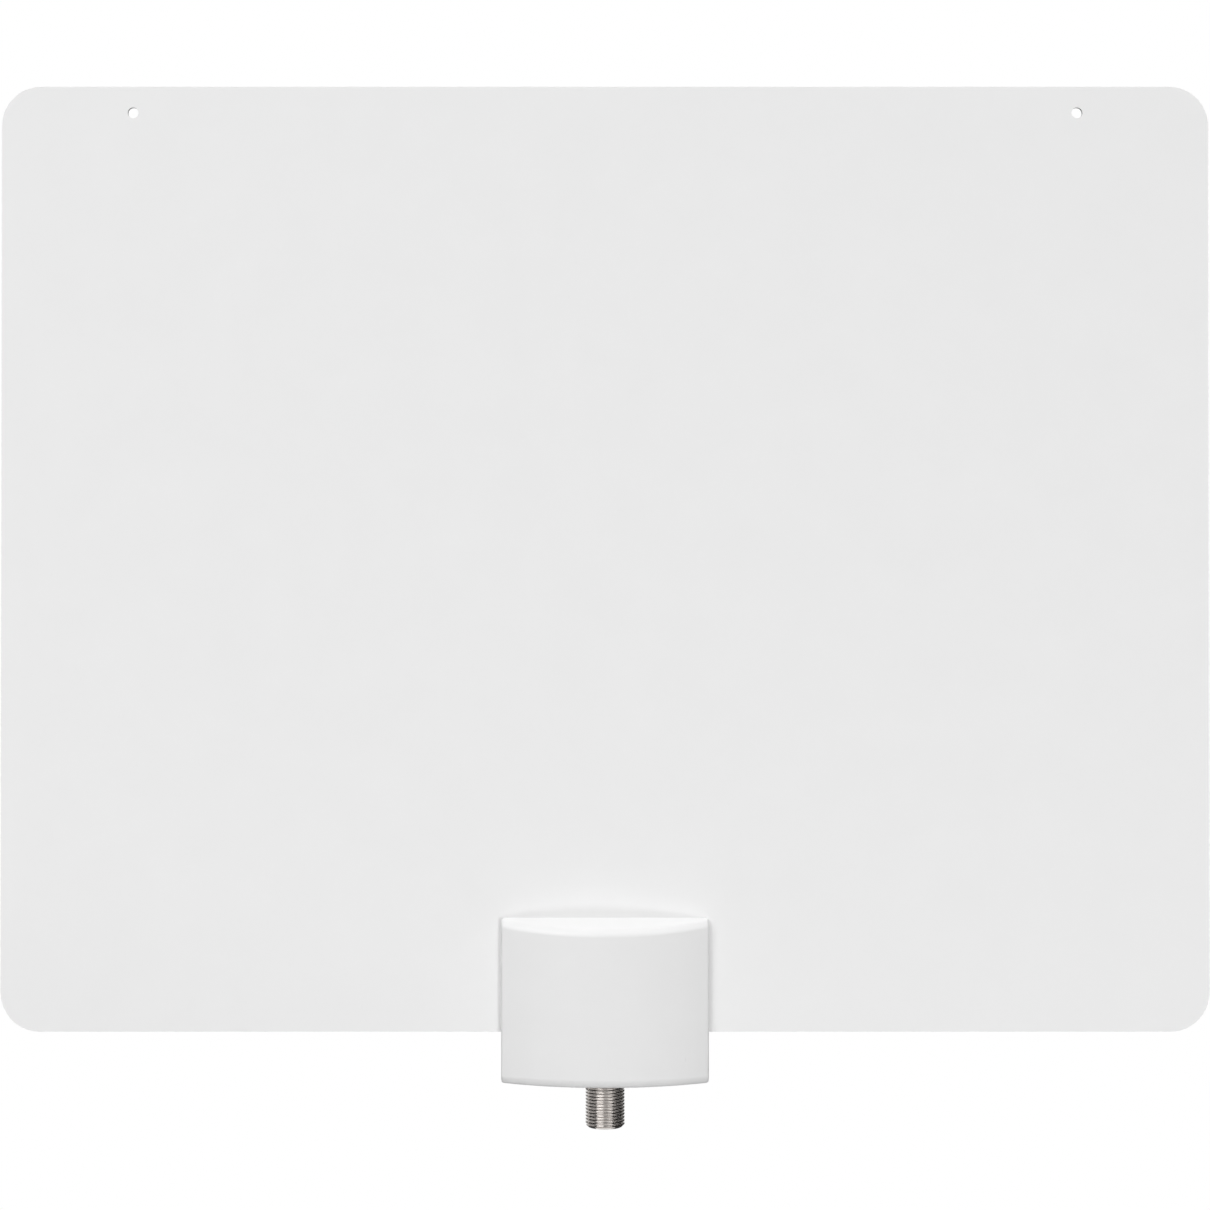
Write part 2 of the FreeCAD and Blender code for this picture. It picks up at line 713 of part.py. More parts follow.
def build_connector_shell():
    """Barrel with its mouth lip and neck, a square flange and the prongs that grip the board's edge."""
    body = new_body("connector_shell")
    section = new_sketch(body, "barrel", "XZ_Plane")
    mouth = "Sizes.mouth_bore / 2"
    neck = "Sizes.neck_diameter / 2"
    add_polygon(
        section,
        [
            (mouth, "0"),
            ("Layout.barrel_radius - Sizes.thread_chamfer", "0"),
            ("Layout.barrel_radius", "Sizes.thread_chamfer"),
            ("Layout.barrel_radius", "Sizes.connector_reach"),
            (neck, "Sizes.connector_reach"),
            (neck, "Layout.barrel_length"),
            ("Layout.bore_radius", "Layout.barrel_length"),
            ("Layout.bore_radius", "Sizes.mouth_lip"),
            (mouth, "Sizes.mouth_lip"),
        ],
    )
    add_revolution(body, section)
    flange = new_sketch(body, "flange", "XY_Plane", "Layout.barrel_length - Sizes.flange_thickness")
    half = "Layout.flange_half"
    add_rectangle(flange, f"-{half}", half, f"-{half}", half)
    add_circle(flange, "0", "0", "Sizes.barrel_bore")
    add_pad(body, flange, "Sizes.flange_thickness")
    prongs = new_sketch(body, "prongs", "XY_Plane", "Layout.barrel_length")
    prong_outer = f"({half} - Sizes.prong_inset)"
    for side in (LEFT, RIGHT):
        edges = (f"{side} * ({prong_outer} - Sizes.prong_width)", f"{side} * {prong_outer}")
        add_rectangle(prongs, *edges, "-Layout.board_front - Sizes.prong_thickness", "-Layout.board_front")
        behind = "-Sizes.front_film_thickness"
        add_rectangle(prongs, *edges, behind, f"{behind} + Sizes.prong_thickness")
    add_pad(body, prongs, "Sizes.prong_length")
    place_in_jack(body)


def build_front_insulator():
    """Bush behind the mouth lip, with a lead-in and a guide hole for the cable's centre wire."""
    body = new_body("connector_front_insulator")
    sketch = new_sketch(body, "section", "XZ_Plane")
    guide = "Sizes.guide_diameter / 2"
    cavity = "Sizes.contact_diameter / 2 + Sizes.contact_room"
    add_polygon(
        sketch,
        [
            (f"{guide} + Sizes.guide_lead", "Sizes.mouth_lip"),
            ("Layout.bore_radius", "Sizes.mouth_lip"),
            ("Layout.bore_radius", "Layout.insulator_split"),
            (cavity, "Layout.insulator_split"),
            (cavity, "Layout.contact_start"),
            (guide, "Layout.contact_start"),
            (guide, "Sizes.mouth_lip + Sizes.guide_lead"),
        ],
    )
    add_revolution(body, sketch)
    place_in_jack(body)


def build_rear_insulator():
    """Plug that closes the barrel behind the contact and lets its tail through."""
    body = new_body("connector_rear_insulator")
    sketch = new_sketch(body, "section", "XZ_Plane")
    tail_depth = "(Sizes.front_film_thickness + Sizes.tail_rear_depth)"
    tail_hole = f"sqrt(Sizes.tail_width^2 / 4 + {tail_depth}^2) + Sizes.tail_room"
    add_rectangle(sketch, tail_hole, "Layout.bore_radius", "Layout.insulator_split", "Layout.barrel_length")
    add_revolution(body, sketch)
    place_in_jack(body)


def build_centre_contact():
    """Slotted spring socket with a flat tail that lies on the back of the board."""
    body = new_body("centre_contact")
    section = new_sketch(body, "socket", "XZ_Plane")
    outside = "Sizes.contact_diameter / 2"
    inside = "Sizes.contact_bore / 2"
    bore_end = "Layout.insulator_split - Sizes.contact_back_wall"
    add_polygon(
        section,
        [
            (inside, "Layout.contact_start"),
            (outside, "Layout.contact_start"),
            (outside, "Layout.insulator_split"),
            ("0", "Layout.insulator_split"),
            ("0", bore_end),
            (inside, bore_end),
        ],
    )
    add_revolution(body, section)
    slot_half = "Sizes.contact_slot_width / 2"
    slot_end = "Layout.contact_start + Sizes.contact_slot_length"
    for plane in ("XZ_Plane", "YZ_Plane"):
        slot = new_sketch(body, f"slot_{plane}", plane)
        add_rectangle(slot, f"-{slot_half}", slot_half, "Layout.contact_start", slot_end)
        add_pocket(body, slot, both_ways=True)
    tail = new_sketch(body, "tail", "XY_Plane", "Layout.insulator_split")
    half_width = "Sizes.tail_width / 2"
    add_rectangle(tail, f"-{half_width}", half_width, "-Sizes.front_film_thickness", "Sizes.tail_rear_depth")
    add_pad(body, tail, "Layout.barrel_length - Layout.insulator_split + Sizes.tail_reach")
    place_in_jack(body)


def check_document():
    """Stop if any object failed or any sub-part has no sound shape."""
    failed = [item.Name for item in document.Objects if {"Invalid", "Error"} & set(item.State)]
    failed += [part.Label for part in subparts if part.Shape.isNull() or not part.Shape.isValid()]
    if failed:
        raise RuntimeError(f"failed: {', '.join(failed)}")


def export_parts():
    """Write each sub-part to a file named after it."""
    os.makedirs("parts", exist_ok=True)
    for part in subparts:
        part.Shape.exportStep(f"parts/{part.Label}.step")
        print(part.Label, len(part.Shape.Solids), round(part.Shape.Volume, 3))


build_front_film()
build_back_film()
build_radiator("left_radiator", LEFT)
build_radiator("right_radiator", RIGHT)
build_front_housing()
build_rear_housing()
build_circuit_board()
build_feed_eyelet("left_feed_eyelet", LEFT)
build_feed_eyelet("right_feed_eyelet", RIGHT)
build_balun_core()
build_winding("primary_winding", 1)
build_winding("secondary_winding", -1)
build_connector_shell()
build_front_insulator()
build_rear_insulator()
build_centre_contact()
document.recompute()
check_document()
export_parts()
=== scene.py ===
"""Flat sheet television antenna: finishes, the jack's cut thread, and a plain studio.

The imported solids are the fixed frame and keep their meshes. This script gives every solid its finish,
puts a barrel with a true screw thread in place of the jack's plain one, and sets the floor, the light
and the camera. The frame's axes hold here: +Z up, +X to the right, and the front faces -Y. Lengths are
metres, and a name that ends in _mm is in millimetres.
"""

from __future__ import annotations

import json
import logging
import math
from collections.abc import Iterable
from dataclasses import dataclass
from enum import Enum
from typing import Any

import bmesh
import bpy
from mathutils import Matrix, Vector

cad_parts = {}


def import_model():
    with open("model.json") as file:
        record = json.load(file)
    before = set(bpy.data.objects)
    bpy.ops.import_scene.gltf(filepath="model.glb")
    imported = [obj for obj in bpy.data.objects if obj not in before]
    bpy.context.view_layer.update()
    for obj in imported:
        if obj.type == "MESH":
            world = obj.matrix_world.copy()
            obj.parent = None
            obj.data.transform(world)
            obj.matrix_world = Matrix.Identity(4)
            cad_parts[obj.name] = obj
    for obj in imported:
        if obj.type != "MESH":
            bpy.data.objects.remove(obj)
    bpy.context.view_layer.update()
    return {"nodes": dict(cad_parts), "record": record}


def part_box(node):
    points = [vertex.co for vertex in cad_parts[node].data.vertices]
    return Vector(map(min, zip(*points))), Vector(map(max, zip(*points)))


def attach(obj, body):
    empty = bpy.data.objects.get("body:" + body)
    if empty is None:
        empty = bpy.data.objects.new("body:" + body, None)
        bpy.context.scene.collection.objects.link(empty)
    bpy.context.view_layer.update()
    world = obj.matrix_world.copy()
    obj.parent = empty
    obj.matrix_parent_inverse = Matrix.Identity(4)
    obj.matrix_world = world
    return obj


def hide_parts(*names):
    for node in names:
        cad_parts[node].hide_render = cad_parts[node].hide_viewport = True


MM = 0.001
INCH = 25.4 * MM
BODY = "root"
LOG = logging.getLogger("flat_antenna")

# Sockets of a colour mix, which go by number: the factor, the two colours and the mixed colour
MIX_FACTOR = 0
MIX_FIRST = 6
MIX_SECOND = 7
MIX_RESULT = 2

Colour = tuple[float, float, float, float]


def linear(hex_colour: str) -> Colour:
    """Turn an sRGB hex colour into the linear values that shaders take, by the standard's curve.

    Args:
        hex_colour: A colour such as "#e9e9e9".

    Returns:
        Linear red, green and blue, with an alpha of 1.
    """
    channels = []
    for start in (1, 3, 5):
        channel = int(hex_colour[start:start + 2], 16) / 255
        channels.append(channel / 12.92 if channel <= 0.04045 else ((channel + 0.055) / 1.055) ** 2.4)
    return (*channels, 1.0)


def add_node(
    tree: bpy.types.NodeTree,
    kind: str,
    settings: dict[str, Any] | None = None,
    inputs: dict[str | int, Any] | None = None,
) -> bpy.types.Node:
    """Add a node to a tree, with its settings and links.

    Args:
        tree: The node tree that gets the node.
        kind: The node's type name.
        settings: Properties of the node, by name.
        inputs: Values for its inputs, by name or number. A socket is linked, a node is linked by its
            first output, and anything else becomes the input's own value.

    Returns:
        The new node.
    """
    node = tree.nodes.new(kind)
    for name, setting in (settings or {}).items():
        setattr(node, name, setting)
    for key, given in (inputs or {}).items():
        if isinstance(given, bpy.types.Node):
            given = given.outputs[0]
        if isinstance(given, bpy.types.NodeSocket):
            tree.links.new(given, node.inputs[key])
        else:
            node.inputs[key].default_value = given
    return node


class Lay(Enum):
    """Which way the fine marks of a worked metal run, as the stretch of their pattern on X, Y and Z."""

    ALONG_X = (0.02, 1.0, 1.0)
    ALONG_Z = (1.0, 1.0, 0.02)
    EVERY_WAY = (1.0, 1.0, 1.0)


@dataclass(frozen=True)
class Finish:
    """What every finish has: a name, two close colours that a wide pattern mixes, and a roughness."""

    name: str
    colour: str
    shade: str
    roughness: float
    roughness_spread: float

    def link_patterns(
        self,
        tree: bpy.types.NodeTree,
        wide: bpy.types.Node,
        gloss_pattern: bpy.types.Node,
        fine: bpy.types.Node,
        depth_mm: float,
    ) -> bpy.types.Node:
        """Link the patterns of a finish to the colour, the roughness and the relief of its shader.

        Args:
            tree: The node tree of the material.
            wide: The pattern that mixes the two colours.
            gloss_pattern: The pattern that varies the roughness.
            fine: The pattern that is pressed into the surface.
            depth_mm: How deep it is pressed.

        Returns:
            The shader, which then gets what its own kind of finish adds.
        """
        shader = tree.nodes["Principled BSDF"]
        tint = add_node(
            tree,
            "ShaderNodeMix",
            {"data_type": "RGBA"},
            {MIX_FACTOR: wide, MIX_FIRST: linear(self.colour), MIX_SECOND: linear(self.shade)},
        )
        gloss = add_node(
            tree,
            "ShaderNodeMapRange",
            inputs={
                "Value": gloss_pattern,
                "To Min": self.roughness - self.roughness_spread,
                "To Max": self.roughness + self.roughness_spread,
            },
        )
        relief = add_node(tree, "ShaderNodeBump", inputs={"Height": fine, "Distance": depth_mm * MM})
        tree.links.new(tint.outputs[MIX_RESULT], shader.inputs["Base Color"])
        tree.links.new(gloss.outputs[0], shader.inputs["Roughness"])
        tree.links.new(relief.outputs[0], shader.inputs["Normal"])
        return shader


@dataclass(frozen=True)
class GrainedPlastic(Finish):
    """A plastic, or a material as plain as one, with a fine grain from its mould, press or roller.

    The grain breaks the highlight into a soft satin, and a wide faint mottle keeps the colour from
    looking printed.
    """

    ior: float
    grain_mm: float
    grain_depth_mm: float
    mottle_mm: float
    scatter_weight: float = 0.0
    scatter_mm: float = 1.0
    grain_detail: float = 2.0
    mottle_detail: float = 3.0

    def material(self) -> bpy.types.Material:
        """Build the node material of this finish.

        Returns:
            The material, with its patterns scaled from their sizes in millimetres.
        """
        material = bpy.data.materials.new(self.name)
        material.use_nodes = True
        tree = material.node_tree
        place = add_node(tree, "ShaderNodeTexCoord").outputs["Object"]
        mottle = add_node(
            tree,
            "ShaderNodeTexNoise",
            inputs={"Vector": place, "Scale": 1 / (self.mottle_mm * MM), "Detail": self.mottle_detail},
        )
        grain = add_node(
            tree,
            "ShaderNodeTexNoise",
            inputs={"Vector": place, "Scale": 1 / (self.grain_mm * MM), "Detail": self.grain_detail},
        )
        shader = self.link_patterns(tree, mottle, grain, grain, self.grain_depth_mm)
        shader.inputs["IOR"].default_value = self.ior
        shader.inputs["Subsurface Weight"].default_value = self.scatter_weight
        shader.inputs["Subsurface Scale"].default_value = self.scatter_mm * MM
        return material


@dataclass(frozen=True)
class WorkedMetal(Finish):
    """A metal that was rolled, drawn, pressed or turned, and plated or coated where it needs it.

    Its fine marks run the way that its lay says. A faint tarnish varies the colour and the gloss, in
    clouds that are several marks wide.
    """

    mark_mm: float
    mark_depth_mm: float
    lay: Lay
    coat_weight: float = 0.0
    marks_per_cloud: float = 10.0
    mark_detail: float = 3.0
    cloud_detail: float = 4.0

    def material(self) -> bpy.types.Material:
        """Build the node material of this finish.

        Returns:
            The material, with its patterns scaled from their sizes in millimetres.
        """
        material = bpy.data.materials.new(self.name)
        material.use_nodes = True
        tree = material.node_tree
        place = add_node(tree, "ShaderNodeTexCoord").outputs["Object"]
        along = add_node(tree, "ShaderNodeMapping", inputs={"Vector": place, "Scale": self.lay.value})
        marks = add_node(
            tree,
            "ShaderNodeTexNoise",
            inputs={"Vector": along, "Scale": 1 / (self.mark_mm * MM), "Detail": self.mark_detail},
        )
        cloud_mm = self.marks_per_cloud * self.mark_mm
        clouds = add_node(
            tree,
            "ShaderNodeTexNoise",
            inputs={"Vector": place, "Scale": 1 / (cloud_mm * MM), "Detail": self.cloud_detail},
        )
        shader = self.link_patterns(tree, clouds, clouds, marks, self.mark_depth_mm)
        shader.inputs["Metallic"].default_value = 1.0
        shader.inputs["Coat Weight"].default_value = self.coat_weight
        return material


# Polyester film off a matte roll: soft, nearly even light, with a tooth drawn coarser than it is, to show
WHITE_FILM = GrainedPlastic(
    name="calendered_white_film",
    colour="#ebebeb",
    shade="#e8e8e8",
    roughness=0.6,
    roughness_spread=0.05,
    ior=1.57,
    grain_mm=0.9,
    grain_depth_mm=0.004,
    mottle_mm=14.0,
)

# The same film, pigmented black: the tooth shows as a dull grey sheen
BLACK_FILM = GrainedPlastic(
    name="calendered_black_film",
    colour="#1a1b1d",
    shade="#151618",
    roughness=0.55,
    roughness_spread=0.05,
    ior=1.57,
    grain_mm=0.9,
    grain_depth_mm=0.006,
    mottle_mm=14.0,
)

# ABS from a spark-eroded mould: satin, with a fine grain that is drawn coarser than it is, to show
WHITE_ABS = GrainedPlastic(
    name="spark_eroded_white_abs",
    colour="#e6e6e6",
    shade="#e3e3e3",
    roughness=0.42,
    roughness_spread=0.04,
    ior=1.54,
    grain_mm=0.45,
    grain_depth_mm=0.003,
    mottle_mm=9.0,
)

# The same ABS, pigmented black: the satin shows as a soft grey light on its crown
BLACK_ABS = GrainedPlastic(
    name="spark_eroded_black_abs",
    colour="#18191b",
    shade="#131416",
    roughness=0.42,
    roughness_spread=0.04,
    ior=1.54,
    grain_mm=0.45,
    grain_depth_mm=0.004,
    mottle_mm=9.0,
)

# Polyethylene, moulded smooth: waxy, and light goes a little way into it
POLYETHYLENE = GrainedPlastic(
    name="moulded_polyethylene",
    colour="#f0ede4",
    shade="#e9e5da",
    roughness=0.35,
    roughness_spread=0.03,
    ior=1.51,
    grain_mm=0.3,
    grain_depth_mm=0.001,
    mottle_mm=3.0,
    scatter_weight=0.3,
    scatter_mm=0.6,
)

# Glass-epoxy board under solder mask: glossy green, with a grain where the glass weave shows through
SOLDER_MASK = GrainedPlastic(
    name="solder_masked_glass_epoxy",
    colour="#1f6b41",
    shade="#185636",
    roughness=0.3,
    roughness_spread=0.05,
    ior=1.55,
    grain_mm=0.5,
    grain_depth_mm=0.004,
    mottle_mm=4.0,
)

# Ferrite, pressed and sintered: dull dark grey, with open pores
FERRITE = GrainedPlastic(
    name="sintered_ferrite",
    colour="#3d3d40",
    shade="#303033",
    roughness=0.65,
    roughness_spread=0.1,
    ior=1.8,
    grain_mm=0.12,
    grain_depth_mm=0.01,
    mottle_mm=1.5,
)

# Floor paint, rolled on: matte, with a soft roller stipple
FLOOR_PAINT = GrainedPlastic(
    name="rolled_floor_paint",
    colour="#c8c8c8",
    shade="#c4c4c4",
    roughness=0.85,
    roughness_spread=0.05,
    ior=1.5,
    grain_mm=4.0,
    grain_depth_mm=0.02,
    mottle_mm=300.0,
)

# Brass turned on a lathe and nickel plated: warm grey, with a crisp highlight and a faint bloom
NICKEL = WorkedMetal(
    name="nickel_plated_turned_brass",
    colour="#cdc9c6",
    shade="#c0bbb7",
    roughness=0.12,
    roughness_spread=0.03,
    mark_mm=0.12,
    mark_depth_mm=0.0006,
    lay=Lay.EVERY_WAY,
)

# Aluminium foil from the rolling mill: a pale sheen with rolling lines along the sheet's width
FOIL = WorkedMetal(
    name="rolled_aluminium_foil",
    colour="#d9dadb",
    shade="#cfd0d2",
    roughness=0.3,
    roughness_spread=0.06,
    mark_mm=0.25,
    mark_depth_mm=0.001,
    lay=Lay.ALONG_X,
)

# Brass strip pressed into an eyelet: yellow, with the soft marks of the punch
BRASS = WorkedMetal(
    name="pressed_brass",
    colour="#d8b56a",
    shade="#c09a52",
    roughness=0.28,
    roughness_spread=0.06,
    mark_mm=0.2,
    mark_depth_mm=0.0015,
    lay=Lay.EVERY_WAY,
)

# Copper wire drawn and dipped in enamel: copper under a clear coat
COPPER = WorkedMetal(
    name="enamelled_copper_wire",
    colour="#b4602f",
    shade="#9c4c22",
    roughness=0.25,
    roughness_spread=0.05,
    mark_mm=0.15,
    mark_depth_mm=0.001,
    lay=Lay.EVERY_WAY,
    coat_weight=0.8,
)

# Bronze strip rolled into a spring socket and plated: pale gold, with rolling lines along the socket
BRONZE = WorkedMetal(
    name="plated_spring_bronze",
    colour="#d9bd7c",
    shade="#c9a862",
    roughness=0.24,
    roughness_spread=0.04,
    mark_mm=0.15,
    mark_depth_mm=0.001,
    lay=Lay.ALONG_Z,
)

STUDIO_WHITE = linear("#ffffff")


def shown_rays(tree: bpy.types.NodeTree) -> bpy.types.Node:
    """Add a test for what the eye sees: straight, in a reflection or through glass.

    Args:
        tree: The node tree that gets the test.

    Returns:
        The node whose output is 1 for such rays and 0 for others.
    """
    ray = add_node(tree, "ShaderNodeLightPath").outputs
    direct = add_node(
        tree,
        "ShaderNodeMath",
        {"operation": "MAXIMUM"},
        {0: ray["Is Camera Ray"], 1: ray["Is Glossy Ray"]},
    )
    return add_node(
        tree,
        "ShaderNodeMath",
        {"operation": "MAXIMUM"},
        {0: direct, 1: ray["Is Transmission Ray"]},
    )


def dress(node: bpy.types.Object, material: bpy.types.Material) -> None:
    """Give a solid of the frame its finish, in place of the plain colour it came with.

    Args:
        node: The solid's object.
        material: The material of its finish.
    """
    node.data.materials.clear()
    node.data.materials.append(material)
    LOG.info("%s: %s", node.name, material.name)


@dataclass
class LaminatedSheet:
    """The two films and the foil radiators between them."""

    nodes: dict[str, bpy.types.Object]

    def dress(self) -> None:
        """Give the films and the radiators their finishes."""
        dress(self.nodes["front_film"], WHITE_FILM.material())
        dress(self.nodes["back_film"], BLACK_FILM.material())
        foil = FOIL.material()
        for side in ("left", "right"):
            dress(self.nodes[f"{side}_radiator"], foil)


@dataclass
class ClampHousing:
    """The two moulded halves that clamp the sheet's lower edge."""

    nodes: dict[str, bpy.types.Object]

    def dress(self) -> None:
        """Give each half its finish."""
        dress(self.nodes["front_housing"], WHITE_ABS.material())
        dress(self.nodes["rear_housing"], BLACK_ABS.material())


@dataclass
class MatchingBoard:
    """The board inside the housing, its eyelets and the matching transformer."""

    nodes: dict[str, bpy.types.Object]

    def dress(self) -> None:
        """Give the board and what it carries their finishes."""
        dress(self.nodes["circuit_board"], SOLDER_MASK.material())
        dress(self.nodes["balun_core"], FERRITE.material())
        brass = BRASS.material()
        for side in ("left", "right"):
            dress(self.nodes[f"{side}_feed_eyelet"], brass)
        copper = COPPER.material()
        for winding in ("primary", "secondary"):
            dress(self.nodes[f"{winding}_winding"], copper)


@dataclass
class CoaxialJack:
    """The threaded jack: a barrel with a cut thread, its insulators and its spring contact.

    The thread is the standard one of coaxial jacks: 32 turns to the inch, with flanks at 60 degrees to
    each other and narrow flats, which are shares of the pitch, on its crest and in its root. Above a cut
    through the neck, inside the housing's wall, the flange and the prongs are the frame's own.
    """

    nodes: dict[str, bpy.types.Object]
    crest_radius: float
    turns_per_inch: int = 32
    flank_angle: float = 30.0
    crest_share: float = 0.125
    root_share: float = 0.1875
    spare_turns: int = 2
    end_bevel_mm: float = 0.1
    neck_radius_mm: float = 4.3
    mouth_radius_mm: float = 2.4
    mouth_lip_mm: float = 0.6
    bore_radius_mm: float = 2.8
    neck_cut_mm: float = 0.9
    columns: int = 144
    steps_per_turn: int = 16
    weld_share: float = 0.025
    weld_mm: float = 0.001
    crease_angle: float = 38.0

    @property
    def pitch(self) -> float:
        """Climb of the thread in one turn."""
        return INCH / self.turns_per_inch

    @property
    def root_radius(self) -> float:
        """Radius at the bottom of the thread."""
        flank_run = self.pitch * (1 - self.crest_share - self.root_share) / 2
        return self.crest_radius - flank_run / math.tan(math.radians(self.flank_angle))

    @property
    def end_height(self) -> float:
        """Height of the jack's open end."""
        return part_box("connector_shell")[0].z

    @property
    def neck_height(self) -> float:
        """Height where the thread ends and the neck goes into the housing."""
        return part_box("front_housing")[0].z

    def build(self) -> bpy.types.Object:
        """Build the shell with its thread, in place of the plain barrel.

        Returns:
            The finished shell, as one plain mesh.
        """
        nickel = NICKEL.material()
        thread = self._thread_skin(nickel)
        mesh = bmesh.new()
        mesh.from_mesh(thread)
        bpy.data.meshes.remove(thread)
        self._close_barrel(mesh)
        collar = self._collar()
        mesh.from_mesh(collar)
        bpy.data.meshes.remove(collar)
        shell_mesh = bpy.data.meshes.new("threaded_shell")
        mesh.to_mesh(shell_mesh)
        mesh.free()
        shell_mesh.materials.clear()
        shell_mesh.materials.append(nickel)
        shell_mesh.shade_smooth()
        shell_mesh.set_sharp_from_angle(angle=math.radians(self.crease_angle))
        shell = bpy.data.objects.new("threaded_shell", shell_mesh)
        bpy.context.scene.collection.objects.link(shell)
        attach(shell, BODY)
        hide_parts("connector_shell")
        LOG.info("%s: %d faces", shell.name, len(shell_mesh.polygons))
        return shell

    def dress(self) -> None:
        """Give the insulators and the contact their finishes."""
        polyethylene = POLYETHYLENE.material()
        for place in ("front", "rear"):
            dress(self.nodes[f"connector_{place}_insulator"], polyethylene)
        dress(self.nodes["centre_contact"], BRONZE.material())

    def _thread_tree(self) -> bpy.types.GeometryNodeTree:
        """Build the tree that winds a strip of thread profiles into a screw.

        A flat grid holds the angle on X and the climb along the axis on Y. Each point is set on a
        cylinder whose radius follows the thread's profile, so the grid's rows run along the helix and
        the crest stays crisp. A cone at each end turns the thread off to a plain circle.

        Returns:
            The tree, with its sizes as named inputs.
        """
        tree = bpy.data.node_groups.new("cut_thread", "GeometryNodeTree")
        radii = ("Crest Radius", "Root Radius", "End Radius", "Neck Radius")
        for name in (*radii, "Pitch", "Length", "End Height"):
            tree.interface.new_socket(name, in_out="INPUT", socket_type="NodeSocketFloat")
        for name in ("Turns", "Steps per Turn", "Columns"):
            tree.interface.new_socket(name, in_out="INPUT", socket_type="NodeSocketInt")
        tree.interface.new_socket("Finish", in_out="INPUT", socket_type="NodeSocketMaterial")
        tree.interface.new_socket("Thread", in_out="OUTPUT", socket_type="NodeSocketGeometry")
        size = add_node(tree, "NodeGroupInput").outputs
        climb = add_node(
            tree, "ShaderNodeMath", {"operation": "MULTIPLY"}, {0: size["Turns"], 1: size["Pitch"]}
        )
        rows = add_node(
            tree,
            "ShaderNodeMath",
            {"operation": "MULTIPLY_ADD"},
            {0: size["Turns"], 1: size["Steps per Turn"], 2: 1.0},
        )
        columns = add_node(tree, "ShaderNodeMath", {"operation": "ADD"}, {0: size["Columns"], 1: 1.0})
        strip = add_node(
            tree,
            "GeometryNodeMeshGrid",
            inputs={"Size X": math.tau, "Size Y": climb, "Vertices X": columns, "Vertices Y": rows},
        )
        flat = add_node(tree, "GeometryNodeInputPosition")
        part = add_node(tree, "ShaderNodeSeparateXYZ", inputs={0: flat}).outputs
        turn = add_node(tree, "ShaderNodeMath", {"operation": "DIVIDE"}, {0: part["X"], 1: math.tau})
        lifted = add_node(
            tree,
            "ShaderNodeMath",
            {"operation": "MULTIPLY_ADD"},
            {0: turn, 1: size["Pitch"], 2: part["Y"]},
        )
        height = add_node(
            tree,
            "ShaderNodeMath",
            {"operation": "MULTIPLY_ADD"},
            {0: size["Length"], 1: 0.5, 2: lifted},
        )
        phase = add_node(
            tree, "ShaderNodeMath", {"operation": "DIVIDE"}, {0: part["Y"], 1: size["Pitch"]}
        )
        ridge = add_node(tree, "ShaderNodeMath", {"operation": "PINGPONG"}, {0: phase, 1: 0.5})
        profile = add_node(
            tree,
            "ShaderNodeMapRange",
            {"clamp": True},
            {
                "Value": ridge,
                "From Min": self.crest_share / 2,
                "From Max": (1 - self.root_share) / 2,
                "To Min": size["Crest Radius"],
                "To Max": size["Root Radius"],
            },
        )
        end_cone = add_node(
            tree, "ShaderNodeMath", {"operation": "ADD"}, {0: size["End Radius"], 1: height}
        )
        below_neck = add_node(
            tree, "ShaderNodeMath", {"operation": "SUBTRACT"}, {0: size["Length"], 1: height}
        )
        neck_cone = add_node(
            tree, "ShaderNodeMath", {"operation": "ADD"}, {0: size["Neck Radius"], 1: below_neck}
        )
        end_floor = add_node(
            tree, "ShaderNodeMath", {"operation": "MAXIMUM"}, {0: end_cone, 1: size["End Radius"]}
        )
        neck_floor = add_node(
            tree, "ShaderNodeMath", {"operation": "MAXIMUM"}, {0: neck_cone, 1: size["Neck Radius"]}
        )
        cones = add_node(tree, "ShaderNodeMath", {"operation": "MINIMUM"}, {0: end_floor, 1: neck_floor})
        radius = add_node(tree, "ShaderNodeMath", {"operation": "MINIMUM"}, {0: profile, 1: cones})
        inside = add_node(
            tree,
            "ShaderNodeClamp",
            inputs={"Value": height, "Min": 0.0, "Max": size["Length"]},
        )
        up = add_node(tree, "ShaderNodeMath", {"operation": "ADD"}, {0: inside, 1: size["End Height"]})
        sine = add_node(tree, "ShaderNodeMath", {"operation": "SINE"}, {0: part["X"]})
        cosine = add_node(tree, "ShaderNodeMath", {"operation": "COSINE"}, {0: part["X"]})
        across = add_node(tree, "ShaderNodeMath", {"operation": "MULTIPLY"}, {0: sine, 1: radius})
        behind = add_node(tree, "ShaderNodeMath", {"operation": "MULTIPLY"}, {0: cosine, 1: radius})
        in_front = add_node(tree, "ShaderNodeMath", {"operation": "MULTIPLY"}, {0: behind, 1: -1.0})
        wound = add_node(tree, "ShaderNodeCombineXYZ", inputs={"X": across, "Y": in_front, "Z": up})
        screw = add_node(tree, "GeometryNodeSetPosition", inputs={"Geometry": strip, "Position": wound})
        step = self.pitch / self.steps_per_turn
        welded = add_node(
            tree,
            "GeometryNodeMergeByDistance",
            inputs={"Geometry": screw, "Distance": step * self.weld_share},
        )
        plain = add_node(tree, "GeometryNodeRealizeInstances", inputs={"Geometry": welded})
        finished = add_node(
            tree,
            "GeometryNodeSetMaterial",
            inputs={"Geometry": plain, "Material": size["Finish"]},
        )
        add_node(tree, "NodeGroupOutput", inputs={"Thread": finished})
        return tree

